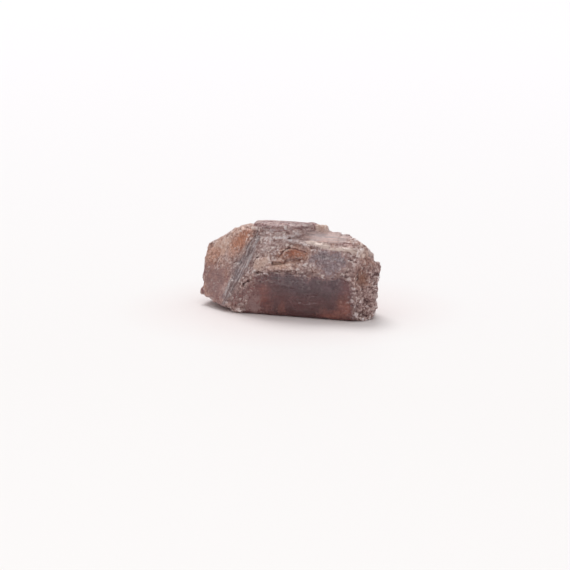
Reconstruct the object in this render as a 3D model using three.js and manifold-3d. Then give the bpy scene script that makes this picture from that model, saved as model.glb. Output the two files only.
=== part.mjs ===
// A rough crystal of enstatite: one elongated prism, broken off at both ends, lying on its flattest side.
// Millimetres. +X along the crystal's length, +Y towards its back, +Z up, origin under the middle on the resting face.
import * as THREE from "three";
import Module from "manifold-3d";
import { mergeVertices } from "three/addons/utils/BufferGeometryUtils.js";

const wasm = await Module();
wasm.setup();

// Driving dimensions
const BLOCK = 60; // side of the blocks that the faces are cut with
const TOP_HEIGHT = 9.0; // resting face to the middle of the flat top
const FRONT_Y = 1.9; // the long front wall
const BACK_Y = 9.1; // the long back wall
const LEFT_X = -11.0; // the left end, seen from the front
const LEDGE_HEIGHT = 4.45; // where the front wall ends and the upper front leans back
const SCAR_SEGMENTS = 28; // how finely the hollow scars are rounded

// A face of the crystal: the way its normal faces (degrees from the front, towards +X), how far that normal rises
// above the horizon (degrees), and a point that the face passes through.
const FACES = {
  restingFace: { facing: 0, rising: -90, through: [0, 5, 0] },
  frontWall: { facing: 0, rising: -1, through: [0, FRONT_Y, LEDGE_HEIGHT] },
  frontFoot: { facing: 0, rising: -38, through: [0, FRONT_Y + 0.05, 0.45] },
  upperFront: { facing: -2, rising: 17, through: [0, FRONT_Y - 0.1, LEDGE_HEIGHT] },
  diagonalBand: { facing: -22, rising: 18.5, through: [-5.8, 3.05, 4.5] },
  leftFront: { facing: -35.5, rising: 21, through: [-7.1, 2.1, 0.9] },
  leftUnderside: { facing: -81, rising: -80.5, through: [-5.2, 4.2, 0] },
  leftEnd: { facing: -95, rising: -6, through: [LEFT_X, 6.4, 3] },
  top: { facing: -20, rising: 86, through: [-1, 4.4, TOP_HEIGHT] },
  topLeftSlope: { facing: -73, rising: 54, through: [-7.25, 5.6, 7.85] },
  topLeftCorner: { facing: -80, rising: 30, through: [-10.65, 7.0, 5.8] },
  rightFront: { facing: 48, rising: 4, through: [6.2, 2.0, 3] },
  rightEndFront: { facing: 80, rising: -4, through: [8.4, 4.5, 5.3] },
  rightEnd: { facing: 114, rising: -7, through: [8.35, 4.7, 5.4] },
  rightSlope: { facing: 120, rising: 58, through: [5.93, 4.01, 7.77] },
  rightFrontFoot: { facing: 50, rising: -50, through: [7.0, 2.6, 0] },
  rightFoot: { facing: 100, rising: -55, through: [7.4, 4.4, 0] },
  backWall: { facing: 181, rising: -3, through: [0, BACK_Y, 3.5] },
  backUpper: { facing: 186, rising: 50, through: [1.69, 5.65, TOP_HEIGHT + 0.1] },
  backUpperRight: { facing: 151, rising: 50, through: [2.83, 5.39, 8.38] },
  backCentre: { facing: 172, rising: 16, through: [2.0, BACK_Y - 0.3, 4.2] },
  backLower: { facing: 184, rising: -40, through: [0, BACK_Y - 0.1, 2.0] },
  backLeft: { facing: -140, rising: 6, through: [-9.6, 8.2, 3] },
  backRight: { facing: 134, rising: 8, through: [6.4, 8.0, 3] },
};

// Steps broken out of the faces: each is the corner outside both its tread and its riser.
const STEPS = {
  topRightStep: [
    { facing: 1, rising: 71, through: [5.51, 4.3, 7.99] },
    { facing: 50, rising: 25, through: [1.95, 5.18, 8.31] },
  ],
  brownShelf: [
    { facing: 2, rising: 54, through: [6.77, 3.05, 7.04] },
    { facing: 55, rising: 25, through: [1.9, 3.2, 7.2] },
  ],
  greyFacet: [
    { facing: 1, rising: 21, through: [3.52, 1.9, 4.16] },
    { facing: 84, rising: 8, through: [2.2, 2.95, 6.9] },
  ],
  topLeftStep: [
    { facing: -26, rising: 74, through: [-6.6, 5.5, 8.2] },
    { facing: -88, rising: 20, through: [-4.9, 5.4, 8.6] },
  ],
  rightEndShelf: [
    { facing: 90, rising: 58, through: [7.5, 4.5, 6.03] },
    { facing: 92, rising: 6, through: [7.4, 4.5, 6.3] },
  ],
  backTerrace: [
    { facing: 172, rising: 68, through: [0, 7.7, 6.5] },
    { facing: 179, rising: 12, through: [0, 7.3, 7.0] },
  ],
  backEndStep: [
    { facing: 165, rising: 4, through: [4.0, 7.6, 3.2] },
    { facing: 100, rising: -14, through: [3.4, 7.7, 3.2] },
  ],
  ledgeUndercut: [
    { facing: 0, rising: 1, through: [0, FRONT_Y + 0.16, LEDGE_HEIGHT - 0.4] },
    { facing: 0, rising: -50, through: [0, FRONT_Y, LEDGE_HEIGHT - 0.1] },
  ],
};

// Shell-shaped scars where chips have flaked off: centre and radii of the hollow, and its lean about Y (degrees).
const SCARS = {
  ledgeScar: { centre: [-1.6, 1.65, 5.15], radii: [2.3, 0.85, 0.6], lean: 0 },
  upperScar: { centre: [0.0, 2.0, 6.2], radii: [1.5, 0.75, 0.8], lean: -8 },
  rightWindow: { centre: [7.6, 2.5, 4.2], radii: [0.6, 0.9, 1.1], lean: 12 },
  backScar: { centre: [-2.2, 9.5, 3.9], radii: [2.6, 1.1, 1.5], lean: 14 },
  backChip: { centre: [3.4, 8.6, 6.3], radii: [1.5, 1.0, 0.7], lean: -20 },
  footChip: { centre: [1.6, 9.2, 0.4], radii: [1.4, 0.9, 0.8], lean: 0 },
  leftNotch: { centre: [-11.3, 5.4, 1.75], radii: [0.75, 1.2, 0.32], lean: 0 },
};

// An angular knob left standing at the right of the flat top.
const KNOB = { centre: [2.25, 4.75, 8.6], radii: [0.75, 1.05, 0.5], lean: 14 };

// Chips broken out along the cleavage: the middle of each missing block, its size along, across and up, and how far
// it is tipped about its length, leant over and turned about +Z (degrees).
const CHIPS = {
  ledge: [
    { middle: [-2.9, 1.72, 4.5], size: [1.3, 0.3, 0.5], tip: 14, lean: 6, turn: 4 },
    { middle: [-0.3, 1.68, 4.6], size: [0.9, 0.28, 0.36], tip: -14, lean: -8, turn: -6 },
    { middle: [1.6, 1.8, 5.0], size: [1.6, 0.4, 0.9], tip: 22, lean: 12, turn: 7 },
    { middle: [4.4, 1.86, 4.25], size: [1.5, 0.26, 0.4], tip: 30, lean: -5, turn: -3 },
  ],
  upperFront: [
    { middle: [-2.9, 3.1, 8.85], size: [1.2, 0.7, 0.3], tip: 12, lean: 10, turn: -18 },
    { middle: [-0.9, 3.0, 8.95], size: [1.5, 0.5, 0.3], tip: 24, lean: -6, turn: 6 },
    { middle: [0.0, 2.62, 7.4], size: [2.1, 0.36, 0.5], tip: 34, lean: 9, turn: -5 },
    { middle: [-2.0, 2.88, 7.9], size: [1.5, 0.3, 0.6], tip: 32, lean: -14, turn: 8 },
    { middle: [-3.1, 2.42, 6.5], size: [1.0, 0.36, 1.0], tip: 8, lean: 28, turn: -14 },
    { middle: [-1.6, 2.2, 5.9], size: [1.1, 0.3, 0.5], tip: 34, lean: -10, turn: 10 },
  ],
  rightRidge: [
    { middle: [4.5, 2.95, 7.12], size: [1.6, 0.42, 0.24], tip: 20, lean: 5, turn: 3 },
    { middle: [6.3, 3.0, 7.0], size: [0.9, 0.5, 0.36], tip: 36, lean: -18, turn: 14 },
    { middle: [7.0, 3.6, 7.4], size: [0.9, 0.9, 0.26], tip: 30, lean: 8, turn: 30 },
    { middle: [5.6, 4.2, 8.0], size: [0.6, 0.9, 0.26], tip: 24, lean: 10, turn: 30 },
  ],
  diagonalBand: [
    { middle: [-4.9, 3.55, 7.4], size: [0.34, 0.3, 1.3], tip: 20, lean: 18, turn: -30 },
    { middle: [-5.9, 3.35, 5.2], size: [0.3, 0.3, 1.7], tip: 22, lean: 18, turn: -30 },
    { middle: [-4.3, 2.5, 5.0], size: [0.4, 0.34, 1.2], tip: 20, lean: 24, turn: -12 },
    { middle: [-5.0, 2.1, 3.1], size: [0.4, 0.34, 1.1], tip: 14, lean: 26, turn: -12 },
    { middle: [-6.2, 1.9, 1.2], size: [0.5, 0.34, 0.8], tip: 8, lean: 30, turn: -12 },
  ],
  rightEnd: [
    { middle: [6.5, 2.55, 6.0], size: [0.7, 0.4, 0.9], tip: 16, lean: 34, turn: 30 },
    { middle: [6.2, 2.0, 3.5], size: [0.5, 0.36, 1.2], tip: 8, lean: 16, turn: 24 },
    { middle: [6.3, 2.0, 1.6], size: [0.6, 0.36, 0.9], tip: -8, lean: 38, turn: 24 },
    { middle: [7.4, 3.3, 5.6], size: [1.1, 0.44, 0.8], tip: 14, lean: 40, turn: 56 },
    { middle: [8.1, 4.2, 4.5], size: [0.8, 0.4, 0.9], tip: -12, lean: 28, turn: 62 },
    { middle: [7.6, 3.4, 1.9], size: [1.0, 0.42, 0.9], tip: 14, lean: 48, turn: 40 },
    { middle: [8.0, 4.0, 2.9], size: [0.7, 0.4, 0.7], tip: 20, lean: 52, turn: 60 },
    { middle: [7.0, 2.7, 0.6], size: [1.3, 0.4, 0.7], tip: -20, lean: -24, turn: 50 },
  ],
  leftEnd: [
    { middle: [-10.7, 6.6, 5.9], size: [0.5, 0.7, 0.7], tip: 20, lean: 35, turn: -60 },
    { middle: [-9.4, 6.4, 6.6], size: [0.9, 0.6, 0.3], tip: 26, lean: 12, turn: -40 },
    { middle: [-11.0, 5.8, 3.6], size: [0.5, 0.4, 0.9], tip: 10, lean: 20, turn: -60 },
  ],
  back: [
    { middle: [-7.6, 9.0, 4.6], size: [1.6, 0.6, 1.2], tip: 20, lean: 18, turn: 14 },
    { middle: [6.8, 7.5, 4.4], size: [1.0, 0.6, 1.5], tip: 12, lean: -14, turn: -46 },
    { middle: [-9.6, 8.2, 2.2], size: [1.3, 0.5, 0.8], tip: -16, lean: 30, turn: 38 },
    { middle: [2.4, 9.0, 2.3], size: [2.2, 0.4, 0.7], tip: 24, lean: -7, turn: -4 },
    { middle: [-1.4, 8.0, 6.6], size: [2.6, 0.7, 0.4], tip: -24, lean: 10, turn: 5 },
  ],
};

// Growth lines: fine grooves along the crystal, where they start, how far they run, how deep and how steep they are.
const GROWTH_LINES = [
  { from: [-4.4, FRONT_Y + 0.14, 3.4], length: 8.6, depth: 0.05, lean: 1 },
  { from: [-5.2, FRONT_Y + 0.11, 2.45], length: 10.4, depth: 0.07, lean: 0.5 },
  { from: [-3.0, FRONT_Y + 0.1, 1.85], length: 7.8, depth: 0.05, lean: -0.5 },
  { from: [-5.6, FRONT_Y + 0.09, 1.2], length: 11.2, depth: 0.06, lean: 0 },
];

function solidOf(geometry) {
  const bare = geometry.index ? geometry.clone() : geometry;
  bare.deleteAttribute("normal");
  bare.deleteAttribute("uv");
  const merged = mergeVertices(bare, 1e-4);
  const mesh = new wasm.Mesh({
    numProp: 3,
    vertProperties: merged.attributes.position.array,
    triVerts: new Uint32Array(merged.index.array),
  });
  return new wasm.Manifold(mesh);
}

function geometryOf(solid) {
  const mesh = solid.getMesh();
  const geometry = new THREE.BufferGeometry();
  geometry.setAttribute("position", new THREE.BufferAttribute(mesh.vertProperties, 3));
  geometry.setIndex(new THREE.BufferAttribute(mesh.triVerts, 1));
  geometry.computeVertexNormals();
  return geometry;
}

function normalOf({ facing, rising }) {
  const turn = THREE.MathUtils.degToRad(facing);
  const rise = THREE.MathUtils.degToRad(rising);
  return new THREE.Vector3(
    Math.sin(turn) * Math.cos(rise),
    -Math.cos(turn) * Math.cos(rise),
    Math.sin(rise),
  );
}

// The block of space just outside a face.
function outside(face) {
  const normal = normalOf(face);
  const block = new THREE.BoxGeometry(BLOCK, BLOCK, BLOCK);
  block.translate(0, 0, BLOCK / 2);
  block.applyQuaternion(new THREE.Quaternion().setFromUnitVectors(new THREE.Vector3(0, 0, 1), normal));
  block.translate(...face.through);
  return solidOf(block);
}

// A unit shape stretched to its radii, leant over and moved to its place.
function lumpOf(geometry, { centre, radii, lean }) {
  geometry.scale(...radii);
  geometry.rotateY(THREE.MathUtils.degToRad(lean));
  geometry.translate(...centre);
  return solidOf(geometry);
}

function scarOf(scar) {
  return lumpOf(new THREE.SphereGeometry(1, SCAR_SEGMENTS, SCAR_SEGMENTS / 2), scar);
}

function chipOf({ middle, size, tip, lean, turn }) {
  const block = new THREE.BoxGeometry(...size);
  block.rotateX(THREE.MathUtils.degToRad(tip));
  block.rotateY(THREE.MathUtils.degToRad(lean));
  block.rotateZ(THREE.MathUtils.degToRad(turn));
  block.translate(...middle);
  return solidOf(block);
}

// A groove of square section lying on its edge, half of it inside the face it runs along.
function growthLineOf({ from, length, depth, lean }) {
  const groove = new THREE.BoxGeometry(length, depth * Math.SQRT2, depth * Math.SQRT2);
  groove.rotateX(Math.PI / 4);
  groove.translate(length / 2, 0, 0);
  groove.rotateY(THREE.MathUtils.degToRad(-lean));
  groove.translate(...from);
  return solidOf(groove);
}

function crystalSolid() {
  let crystal = solidOf(new THREE.BoxGeometry(BLOCK / 2, BLOCK / 2, BLOCK / 2));
  for (const face of Object.values(FACES)) crystal = crystal.subtract(outside(face));
  for (const faces of Object.values(STEPS)) {
    crystal = crystal.subtract(faces.map(outside).reduce((corner, block) => corner.intersect(block)));
  }
  crystal = crystal.add(lumpOf(new THREE.IcosahedronGeometry(1, 0), KNOB));
  for (const scar of Object.values(SCARS)) crystal = crystal.subtract(scarOf(scar));
  for (const chip of Object.values(CHIPS).flat()) crystal = crystal.subtract(chipOf(chip));
  for (const line of GROWTH_LINES) crystal = crystal.subtract(growthLineOf(line));
  return crystal;
}

function crystalMesh() {
  const geometry = geometryOf(crystalSolid());
  geometry.computeBoundingBox();
  const box = geometry.boundingBox;
  geometry.translate(-(box.min.x + box.max.x) / 2, -(box.min.y + box.max.y) / 2, -box.min.z);
  const material = new THREE.MeshStandardMaterial({ color: 0x6b4540, roughness: 0.35, metalness: 0 });
  const mesh = new THREE.Mesh(geometry, material);
  mesh.name = "crystal";
  return mesh;
}

const enstatite = new THREE.Group();
enstatite.add(crystalMesh());
export default enstatite;
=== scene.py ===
"""A rough crystal of enstatite on a pale studio floor."""

import itertools
import math
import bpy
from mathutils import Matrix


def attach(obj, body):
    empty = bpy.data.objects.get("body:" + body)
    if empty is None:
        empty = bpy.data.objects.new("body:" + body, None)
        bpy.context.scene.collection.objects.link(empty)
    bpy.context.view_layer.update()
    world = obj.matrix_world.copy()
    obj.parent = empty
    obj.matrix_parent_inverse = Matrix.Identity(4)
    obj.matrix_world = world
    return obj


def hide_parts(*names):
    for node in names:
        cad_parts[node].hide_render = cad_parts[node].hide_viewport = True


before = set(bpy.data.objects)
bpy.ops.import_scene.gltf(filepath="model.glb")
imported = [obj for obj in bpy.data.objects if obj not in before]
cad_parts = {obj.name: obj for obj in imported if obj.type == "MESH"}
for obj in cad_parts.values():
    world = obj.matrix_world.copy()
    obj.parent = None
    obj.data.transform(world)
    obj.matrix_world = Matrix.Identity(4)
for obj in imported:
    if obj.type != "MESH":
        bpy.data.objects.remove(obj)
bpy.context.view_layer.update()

from concurrent.futures import ThreadPoolExecutor

import bpy
import numpy as np
import openvdb
from bpy.props import FloatProperty, FloatVectorProperty, PointerProperty
from mathutils import Euler, Vector

bl_info = {
    "name": "Enstatite crystal",
    "version": (1, 0, 0),
    "blender": (4, 5, 0),
    "location": "3D View > Sidebar > Crystal",
    "description": "Grows a rough enstatite crystal over its solid and sets up a studio",
    "category": "Add Mesh",
}

MM = 0.001
MOST_TRIANGLES = 200000
THINNEST = 0.24  # horns with less stone than this share around them are worn off
NARROWEST = 0.76  # pits with more stone than this share around them are filled
SOFTENING = 2.0  # mm of wear for each full share beyond those
BLURRED = 2.12  # grid steps over which nine blurs spread an edge
CREASE = 32  # degrees between faces from which an edge stays crisp

FLOOR_HALF = 3.0  # m from the middle of the floor to its edge
FLOOR_GAP = 0.00002  # m between the floor and the crystal's foot
FLOOR_FADE = (-0.03, 0.25)  # m behind the crystal from the near to the far floor
ROSY_REACH = (0.018, 0.004)  # m from the crystal's middle, from no rosy tint to all of it
KEY_PLACE = (-0.14, 0.22, 0.40)  # m, the side that the key light comes from
AIM = (0.356, -2.704, 3.04)  # mm, the middle of the view


# ---- settings


def length(name, description, default):
    return FloatProperty(name=name, description=description, default=default, unit="LENGTH", precision=5)


def share(name, description, default):
    return FloatProperty(
        name=name, description=description, default=default, min=0.0, max=1.0, subtype="FACTOR"
    )


def strength(name, description, default):
    return FloatProperty(name=name, description=description, default=default, min=0.0)


def angle(name, description, degrees):
    return FloatProperty(name=name, description=description, default=math.radians(degrees), subtype="ANGLE")


def colour(name, description, default):
    return FloatVectorProperty(
        name=name, description=description, default=default, size=3, min=0.0, max=1.0, subtype="COLOR"
    )


class CrystalShape(bpy.types.PropertyGroup):
    """Sizes of the crystal's broken surface"""

    detail: length("Detail", "Size of the smallest surface detail", 0.000103)
    edge_wander: length("Edge wander", "How far straight edges wander", 0.00016)
    terrace_rise: length("Terrace rise", "Height of the cleavage steps", 0.00007)
    splinter: length("Splinter", "Mean width of the larger cleavage blocks", 0.00062)
    splinter_depth: length("Splinter depth", "How far the larger blocks step in and out", 0.00019)
    chip: length("Chip", "Mean width of the small cleavage blocks", 0.00026)
    chip_depth: length("Chip depth", "How far the small blocks step in and out", 0.00005)
    crushed: length("Crushed edge", "How far sharp edges are crushed", 0.00022)
    cleft: length("Cleft", "Narrow clefts up to twice this width are filled", 0.00024)
    growth_line_depth: length("Growth line depth", "Depth of the lines along the front wall", 0.00002)


class CrystalFinish(bpy.types.PropertyGroup):
    """Colours and clarity of the crystal"""

    # dark brown of the cracks and darkest grains, also used as painted shade in hollows and in the grooves
    # under the top
    gap: colour("Gap", "Dark brown between the grains", (0.15, 0.078, 0.072))
    body: colour("Body", "Brown of the broken ground", (0.34, 0.195, 0.168))
    frost: colour("Frost", "Pinkish tan of the lit grains", (0.64, 0.43, 0.375))
    glint: colour("Glint", "Pale grains that catch the light", (0.96, 0.82, 0.77))
    warm: colour("Warm tint", "Tint of the tan ground", (1.0, 0.83, 0.70))
    cool: colour("Cool tint", "Tint of the lilac-grey ground", (0.88, 0.92, 0.98))
    wall: colour("Wall", "Mauve haze of the clear front wall", (0.205, 0.078, 0.092))
    slate: colour("Slate", "Blue-grey streaks of the clear front wall", (0.175, 0.103, 0.132))
    deep: colour("Deep", "Dark red-brown near the foot", (0.145, 0.018, 0.024))
    mauve: colour("Mauve", "Dull mauve of the left face", (0.27, 0.158, 0.152))
    silver: colour("Silver", "Grey sheen of the smooth cleavage", (0.33, 0.265, 0.275))
    # painted highlight: bright lines on the band and the ripples, and bright dashes and specks on the clear
    # wall
    silver_line: colour("Silver line", "Bright lines down the slanting band", (0.62, 0.56, 0.57))
    ember: colour("Ember", "Deep orange glow low in the clear wall", (0.36, 0.115, 0.075))
    sheen: colour("Sheen", "Light lilac of the smooth faces under the light", (0.54, 0.45, 0.445))
    # partly painted glow: the orange-brown of light through the thin clear windows; on the scar and edges a
    # stain
    amber: colour("Amber", "Orange-brown of the thin clear windows", (0.44, 0.20, 0.115))
    # beige of the crushed edges; also mixed into the painted highlight on the crests
    pale: colour("Pale", "Beige of the crushed edges", (0.66, 0.485, 0.40))
    inside: colour("Inside", "What the light keeps after crossing the crystal", (0.60, 0.14, 0.10))
    density: strength("Density", "How fast light dims inside", 150.0)
    clarity: share("Clarity", "How much of the smooth ground is clear", 0.45)
    gloss: share("Gloss", "Strength of the surface reflection", 0.16)
    bend: FloatProperty(
        name="Refractive index", description="How much the stone bends light", default=1.66, min=1.0, max=3.0
    )


class StudioSettings(bpy.types.PropertyGroup):
    """Floor, light and camera"""

    floor: colour("Floor", "Pale floor under the crystal", (0.84, 0.82, 0.815))
    # painted light: the floor is paler well behind the crystal
    far_floor: colour("Far floor", "Pale floor well behind the crystal", (0.91, 0.89, 0.915))
    rosy_floor: colour("Rosy floor", "Floor tinted by the light through the crystal", (0.83, 0.755, 0.75))
    low_sky: strength("Low surround", "Brightness of the surround near the floor", 0.27)
    high_sky: strength("High surround", "Brightness of the surround overhead", 0.99)
    key: strength("Key light", "Strength of the soft key light", 1.6)
    key_spread: angle("Key spread", "Width of the key light", 28)
    turn: angle("Turn", "Camera turn from the front", 20)
    rise: angle("Rise", "Camera height angle", 12)
    distance: length("Distance", "Camera to crystal", 0.260)
    lens: FloatProperty(name="Lens", description="Focal length", default=164.2, subtype="DISTANCE_CAMERA")


# ---- noise over points, in millimetres


def scatter(ix, iy, iz, seed):
    """A repeatable number from 0 to 1 for each lattice point."""
    h = ix.astype(np.uint32) * np.uint32(374761393)
    h ^= iy.astype(np.uint32) * np.uint32(668265263)
    h ^= iz.astype(np.uint32) * np.uint32(2246822519)
    h += np.uint32((seed * 3266489917) & 0xFFFFFFFF)
    h ^= h >> np.uint32(15)
    h *= np.uint32(2654435761)
    h ^= h >> np.uint32(13)
    h *= np.uint32(1274126177)
    h ^= h >> np.uint32(16)
    return h.astype(np.float32) / np.float32(4294967296.0)


def spread(work, *given):
    """Runs the work on shares of the points side by side and puts the answers back together."""
    parts = list(zip(*(np.array_split(each, 24) for each in given)))
    with ThreadPoolExecutor(4) as hands:
        done = list(hands.map(lambda part: work(*part), parts))
    if isinstance(done[0], dict):
        return {name: np.concatenate([part[name] for part in done]) for name in done[0]}
    return np.concatenate(done)


def around(places, eased=False):
    """The eight lattice points around each place on a lattice, each with its share of the place."""
    base = np.floor(places).astype(np.int64)
    t = (places - base).astype(np.float32)
    if eased:
        t = t * t * (3 - 2 * t)
    for corner in range(8):
        o = (corner & 1, corner >> 1 & 1, corner >> 2 & 1)
        weight = np.ones(len(places), np.float32)
        for axis in range(3):
            weight *= t[:, axis] if o[axis] else 1 - t[:, axis]
        yield weight, base[:, 0] + o[0], base[:, 1] + o[1], base[:, 2] + o[2]


def smooth_noise(points, size, seed):
    """Smooth noise from -1 to 1 with bumps of this size; size may differ along x, y and z."""
    total = np.zeros(len(points), np.float32)
    for weight, *cell in around(points / np.asarray(size, np.float32), eased=True):
        total += weight * scatter(*cell, seed)
    return total * 2 - 1


def rough_noise(points, size, seed, layers=3):
    """Layers of smooth noise, each half the size and half the strength of the last."""
    total = np.zeros(len(points), np.float32)
    size = np.asarray(size, np.float32)
    strength = 1.0
    reach = 0.0
    for layer in range(layers):
        total += strength * smooth_noise(points, size / 2**layer, seed + layer * 17)
        reach += strength
        strength *= 0.5
    return total / reach


def scatter_three(ix, iy, iz, seed):
    """Three repeatable numbers from 0 to 1 for each lattice point."""
    h = (scatter(ix, iy, iz, seed) * np.float32(1 << 24)).astype(np.uint32) * np.uint32(2654435769)
    return [((h >> np.uint32(shift)) & np.uint32(1023)).astype(np.float32) / 1023 for shift in (2, 12, 22)]


def splinters(points, solid, size, depth, lean, seed):
    """The distance to a surface broken into cleavage blocks, in millimetres, and the outermost block's own
    number from 0 to 1. Size is the blocks' mean length, depth and height. Each block ends in a flat face that
    leans a little."""
    q = (points / np.asarray(size, np.float32)).astype(np.float32)
    base = np.floor(q).astype(np.int32)
    left = (solid + 0.7 * depth).astype(np.float32)
    own = np.zeros(len(points), np.float32)
    for dx, dy, dz in itertools.product((-1, 0, 1), repeat=3):
        cell = (base[:, 0] + dx, base[:, 1] + dy, base[:, 2] + dz)
        place = scatter_three(*cell, seed)
        half = scatter_three(*cell, seed + 1)
        turn = scatter_three(*cell, seed + 2)
        level = scatter(*cell, seed + 3)
        x, y, z = ((q[:, a] - cell[a] - place[a]) * size[a] for a in range(3))
        u, v, w = ((t - 0.5) * 2 for t in turn)
        away = np.abs(x + 0.3 * (w * y - v * z)) - size[0] * (0.45 + 0.4 * half[0])
        away = np.maximum(away, np.abs(y - 0.3 * (w * x - u * z)) - size[1] * (0.45 + 0.4 * half[1]))
        away = np.maximum(away, np.abs(z + 0.3 * (v * x - u * y)) - size[2] * (0.45 + 0.4 * half[2]))
        away = np.maximum(away, solid + depth * (level + lean * (u * x + v * y + w * z) / size[1]))
        closer = away < left
        left = np.where(closer, away, left)
        own = np.where(closer, level, own)
    return np.stack([left, own], 1)


def block(points, middle, size, turn, lean, tip):
    """The distance to one cleavage block in millimetres, turned about z, leant about y, tipped about x."""
    turned_by = Euler((math.radians(tip), math.radians(-lean), math.radians(turn))).to_matrix()
    away = (points - np.asarray(middle, np.float32)) @ np.array(turned_by, np.float32)
    return (np.abs(away) - np.asarray(size, np.float32) / 2).max(1)


def past(x, y, z, place, facing):
    """How far each point lies past a plane through this place, along the way it faces, in millimetres."""
    return facing[0] * (x - place[0]) + facing[1] * (y - place[1]) + facing[2] * (z - place[2])


def outside(x, y, z, low, high):
    """How far each point lies outside a box, in millimetres, less than 0 inside it."""
    return np.maximum.reduce([low[0] - x, x - high[0], low[1] - y, y - high[1], low[2] - z, z - high[2]])


# ---- where each kind of ground lies, in millimetres

# Plates that stand out over the front wall: middle, then length, depth and height (mm), then turn, lean and
# tip (degrees).
PLATES = {
    "flake": ((-1.75, -2.95, 5.2), (1.8, 0.9, 1.2), -4, 14, 8),
    "flake_lip": ((-1.9, -3.1, 4.75), (1.7, 0.8, 0.5), 2, 8, -12),
    "long_plate": ((0.3, -3.1, 5.0), (3.4, 0.8, 0.5), 3, 10, 4),
    "under_plate": ((0.7, -3.15, 4.72), (2.6, 0.8, 0.34), -2, 6, -6),
    "short_plate": ((1.6, -3.0, 5.35), (1.6, 0.7, 0.4), 6, 16, 10),
}

# Where no block has broken out, beside the wall: middle and reach (mm).
HEALED = ((-3.9, -3.0, 3.1), 0.85)

# Smooth breaks: a place on each (mm) and the way it faces.
SHEET = ((0, -1.5, 7.86), (0, -0.53, 0.85))
CORNER_CUT = ((-7.0, 0, 7.22), (-0.517, 0, 0.856))
RIM_CUT = ((4.5, 0, 8.1), (0.42, 0, 0.907))
FAR = 99  # mm, beyond the crystal on any side

# Crests that catch the light: from, to and half width (mm).
CRESTS = [
    ((3.0, -2.4, 7.5), (4.6, -2.3, 7.2), 0.50),
    ((5.0, -2.4, 7.0), (7.3, -2.6, 6.85), 0.30),
    ((7.3, -2.6, 6.85), (8.6, -2.2, 6.25), 0.22),
]

# Dark grooves under the plates and beside the ridge: from, to, half width and depth (mm).
GROOVES = [
    ((-2.6, -3.3, 4.3), (-1.4, -3.5, 4.15), 0.30, 0.16),
    ((-1.0, -3.5, 4.35), (2.8, -3.5, 4.65), 0.28, 0.2),
    ((3.1, -2.8, 7.0), (4.8, -2.4, 7.1), 0.20, 0.2),
]

# Cracks between the plates, drawn in the front elevation: corners (x, z) of each, at this depth and with this
# half width (mm).
CRACK_DEPTH = -3.0
CRACK_REACH = 0.12
CRACKS = [
    [(-0.6, 5.9), (-0.7, 5.5), (-0.95, 5.0)],
    [(-0.35, 5.5), (0.25, 6.5), (0.9, 6.9), (1.6, 6.85), (2.7, 6.6)],
    [(-0.4, 5.4), (0.6, 5.6), (1.6, 5.85), (2.7, 5.6)],
    [(-2.8, 4.55), (-2.9, 5.2), (-2.4, 5.75)],
    [(8.0, 4.1), (8.1, 5.2), (8.7, 4.8), (8.95, 3.6)],
]

# Where the clear wall glows orange: middle and radii (mm), reach (mm) and strength.
EMBERS = [
    ((7.0, -3.5, 1.0), (0.9, 1.2, 1.5), 0.9, 1.0),
    ((5.6, -3.5, 0.4), (1.3, 1.2, 0.8), 0.8, 0.85),
    ((-1.8, -3.5, 1.7), (1.0, 1.2, 1.7), 1.1, 1.0),
    ((0.45, -3.5, 0.7), (0.45, 1.2, 0.7), 0.6, 0.8),
]

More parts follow.
